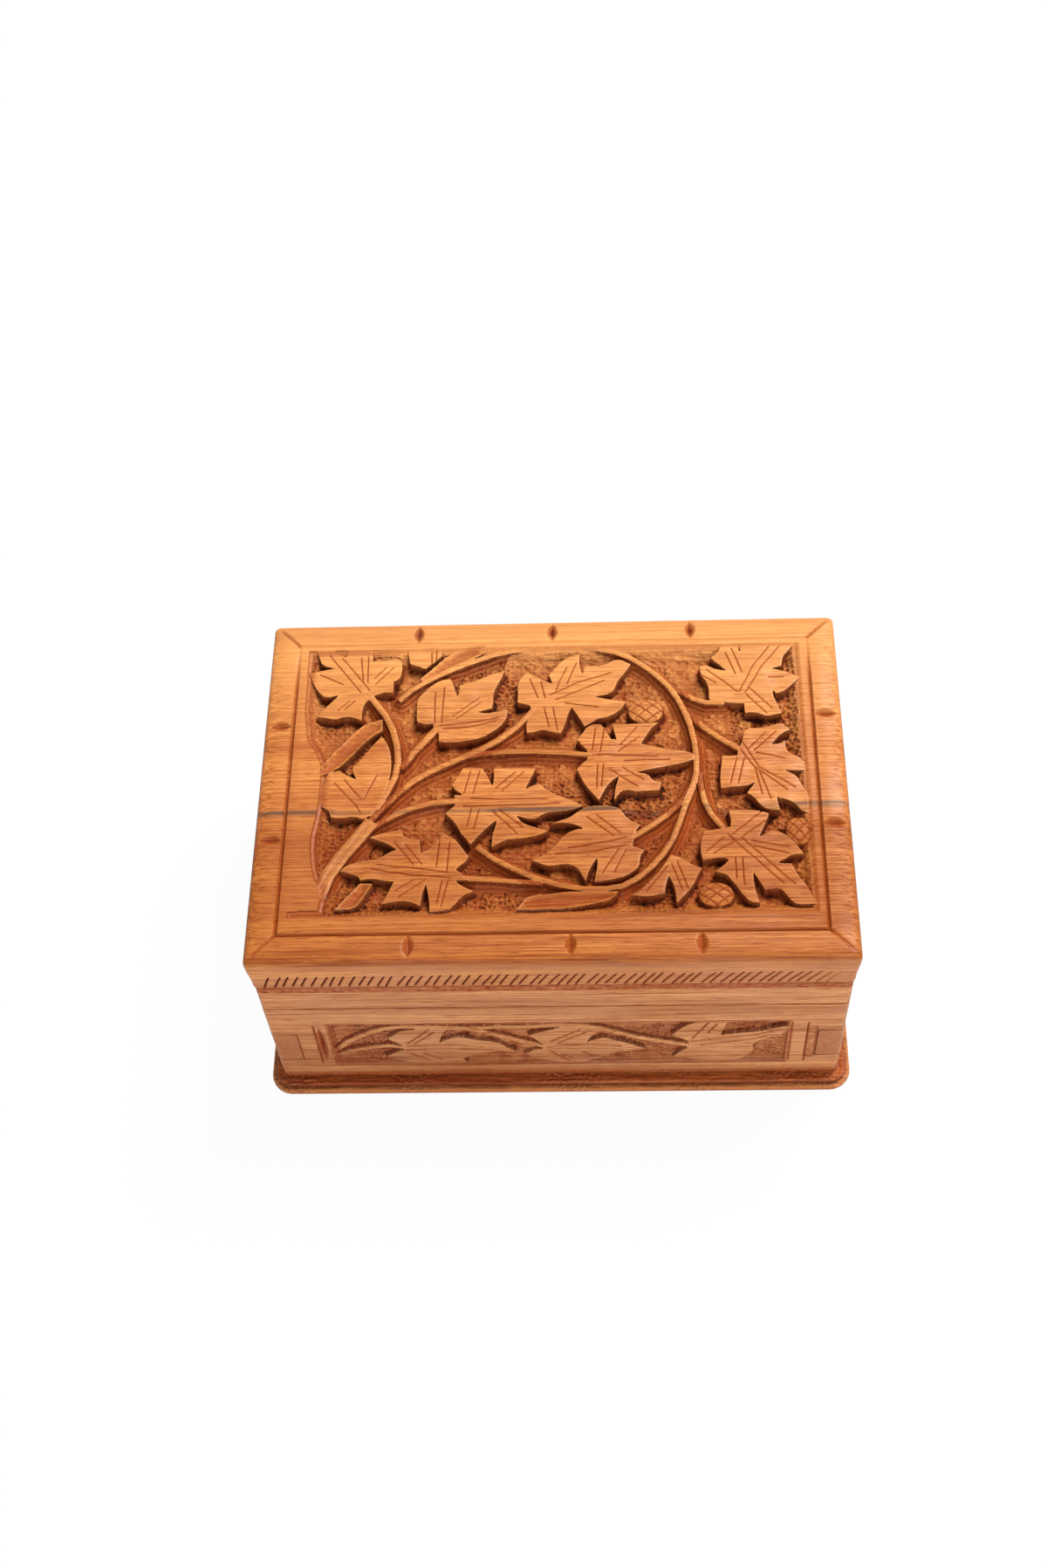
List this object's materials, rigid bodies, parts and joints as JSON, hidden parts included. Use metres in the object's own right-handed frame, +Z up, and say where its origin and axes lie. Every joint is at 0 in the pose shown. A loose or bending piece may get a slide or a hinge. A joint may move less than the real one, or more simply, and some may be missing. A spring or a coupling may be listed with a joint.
{
  "type": "carved wooden box",
  "caption": "Rectangular carved walnut box with a hinged lid, leaf-and-vine relief on the lid and sides, a sliding frieze strip and a moulded base, for keeping papers and keepsakes.",
  "frame": {"origin": "middle of the base board's underside", "axes": "+X along the box's length, +Y from the front to the hinged back, +Z up"},
  "size_m": [0.1594, 0.1114, 0.0725],
  "materials": {
    "walnut_lid": "hand-carved and oiled, satin",
    "walnut_body": "hand-carved and oiled, satin",
    "walnut_base": "stained and oiled, satin",
    "hinge_brass": "pressed sheet, tarnished",
    "screw_brass": "turned",
    "plain_steel": "drawn, dull"
  },
  "bodies": {
    "box": {"base_board": "walnut_base", "front_wall": "walnut_body", "back_wall": "walnut_body", "left_wall": "walnut_body", "right_wall": "walnut_body", "front_frieze_strip": "walnut_body", "back_frieze_strip": "walnut_body", "left_frieze_strip": "walnut_body", "left_hinge_box_leaf": "hinge_brass", "right_hinge_box_leaf": "hinge_brass", "left_hinge_pin": "plain_steel", "right_hinge_pin": "plain_steel", "box_leaf_screws": "screw_brass", "base_screws": "plain_steel"},
    "lid": {"lid_top_board": "walnut_lid", "lid_front_rail": "walnut_lid", "lid_back_rail": "walnut_lid", "lid_left_rail": "walnut_lid", "lid_right_rail": "walnut_lid", "left_hinge_lid_leaf": "hinge_brass", "right_hinge_lid_leaf": "hinge_brass", "lid_leaf_screws": "screw_brass"},
    "sliding_strip": {"right_frieze_strip": "walnut_body"}
  },
  "joints": [
    {"name": "lid_hinge", "type": "hinge", "parent": "box", "child": "lid", "pos_m": [0, 0.0496, 0.04512], "axis": [-1, 0, 0], "range_deg": [0, 100]},
    {"name": "right_strip_slide", "type": "slide", "parent": "box", "child": "sliding_strip", "axis": [0, -1, 0], "range_m": [0, 0.03]}
  ]
}
